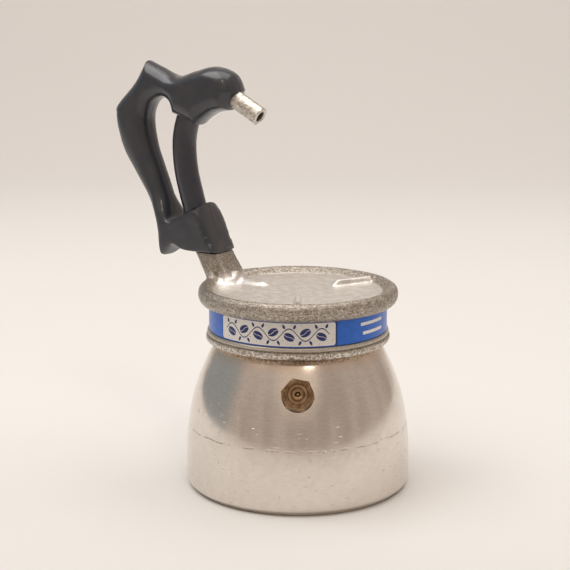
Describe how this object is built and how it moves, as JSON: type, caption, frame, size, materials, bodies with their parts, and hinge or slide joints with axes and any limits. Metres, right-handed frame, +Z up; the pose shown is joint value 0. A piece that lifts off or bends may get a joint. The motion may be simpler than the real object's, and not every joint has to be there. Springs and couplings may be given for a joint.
{
  "type": "stovetop espresso maker",
  "caption": "Belly-shaped aluminium coffee maker. A head with a dished lid screws onto it, and a bent spout runs through the black loop handle and pours onto a cup on the lid.",
  "frame": {"origin": "centre of the boiler's flat underside, on the pot's axis", "axes": "+Z up along the pot's axis, -X towards the handle, +X the way the spout's mouth points, -Y to the side where the safety valve sits"},
  "size_m": [0.1165, 0.0802, 0.1492],
  "materials": {
    "spun_aluminium": "satin",
    "cast_aluminium": "rough cast",
    "black_bakelite": "polished, worn",
    "printed_foil": "gloss print",
    "aged_brass": "tarnished",
    "brass": "plain",
    "copper": "plain",
    "steel": "plain",
    "gasket_rubber": "matte"
  },
  "bodies": {
    "boiler": {"boiler": "spun_aluminium", "valve_body": "aged_brass", "valve_washer": "copper", "valve_inner_washer": "copper", "valve_locknut": "aged_brass", "valve_cap": "aged_brass", "valve_spring": "steel", "funnel_basket": "spun_aluminium", "funnel_tube": "spun_aluminium", "funnel_screen": "spun_aluminium"},
    "seal": {"gasket": "gasket_rubber", "filter_plate": "spun_aluminium"},
    "head": {"group_head": "cast_aluminium", "label_band": "printed_foil", "spout_tube": "cast_aluminium", "spout_sleeve": "black_bakelite", "handle_left_shell": "black_bakelite", "handle_right_shell": "black_bakelite", "handle_screw_collar": "steel", "handle_screw_head": "steel", "handle_screw_grip": "steel", "screw_insert_collar": "brass", "screw_insert_head": "brass", "screw_insert_grip": "brass"},
    "poppet": {"valve_poppet": "brass"}
  },
  "joints": [
    {"name": "head_rise", "type": "slide", "parent": "boiler", "child": "seal", "axis": [0, 0, 1], "range_m": [0, 0.0075]},
    {"name": "head_unscrew", "type": "hinge", "parent": "seal", "child": "head", "pos_m": [0, 0, 0.06], "axis": [0, 0, 1], "range_deg": [0, 1080]},
    {"name": "valve_lift", "type": "slide", "parent": "boiler", "child": "poppet", "axis": [0.4619, -0.8001, 0.3827], "range_m": [0, 0.0012], "stiffness_N_per_m": 1200, "springref_m": -0.0024, "deforming": ["valve_spring"]}
  ],
  "couplings": [
    {"joint": "head_rise", "follows": "head_unscrew", "m_per_rad": 0.00039788}
  ]
}
